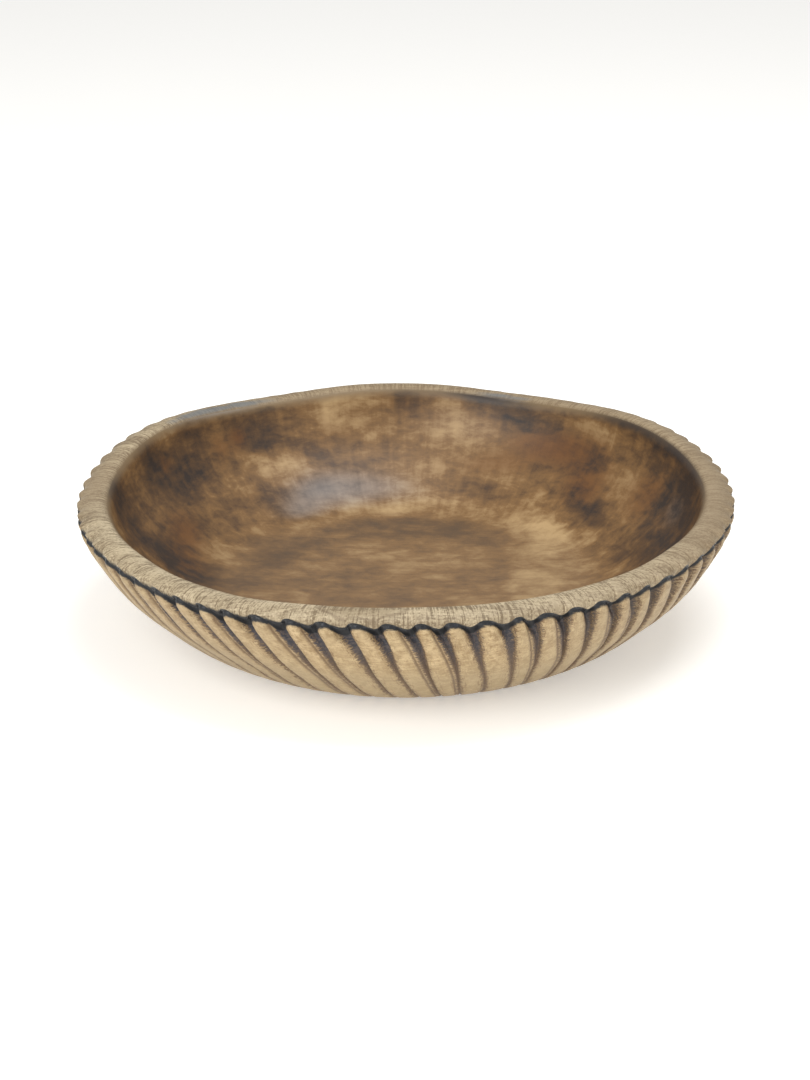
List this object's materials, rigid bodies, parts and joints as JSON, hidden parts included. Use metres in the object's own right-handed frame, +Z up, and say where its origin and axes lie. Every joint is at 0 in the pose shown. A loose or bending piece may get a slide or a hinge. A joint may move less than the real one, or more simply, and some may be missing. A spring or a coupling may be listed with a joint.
{
  "type": "carved wooden bowl",
  "caption": "Wide shallow wooden bowl with twisted flutes round the outside, a broad rolling rim and a smooth hollow, on a flat foot with felt pads.",
  "frame": {"origin": "on the table under the middle of the bowl, level with the undersides of the felt pads", "axes": "+Z up; -Y is the front, where the rim is low; the flutes lean anticlockwise, seen from above, on their way down"},
  "size_m": [0.3997, 0.3999, 0.0923],
  "materials": {
    "wood": "scorched, sanded back and lacquered",
    "felt": "pressed wool felt"
  },
  "bodies": {
    "root": {"bowl_body": "wood", "felt_pad_1": "felt", "felt_pad_2": "felt", "felt_pad_3": "felt", "felt_pad_4": "felt"}
  },
  "joints": []
}
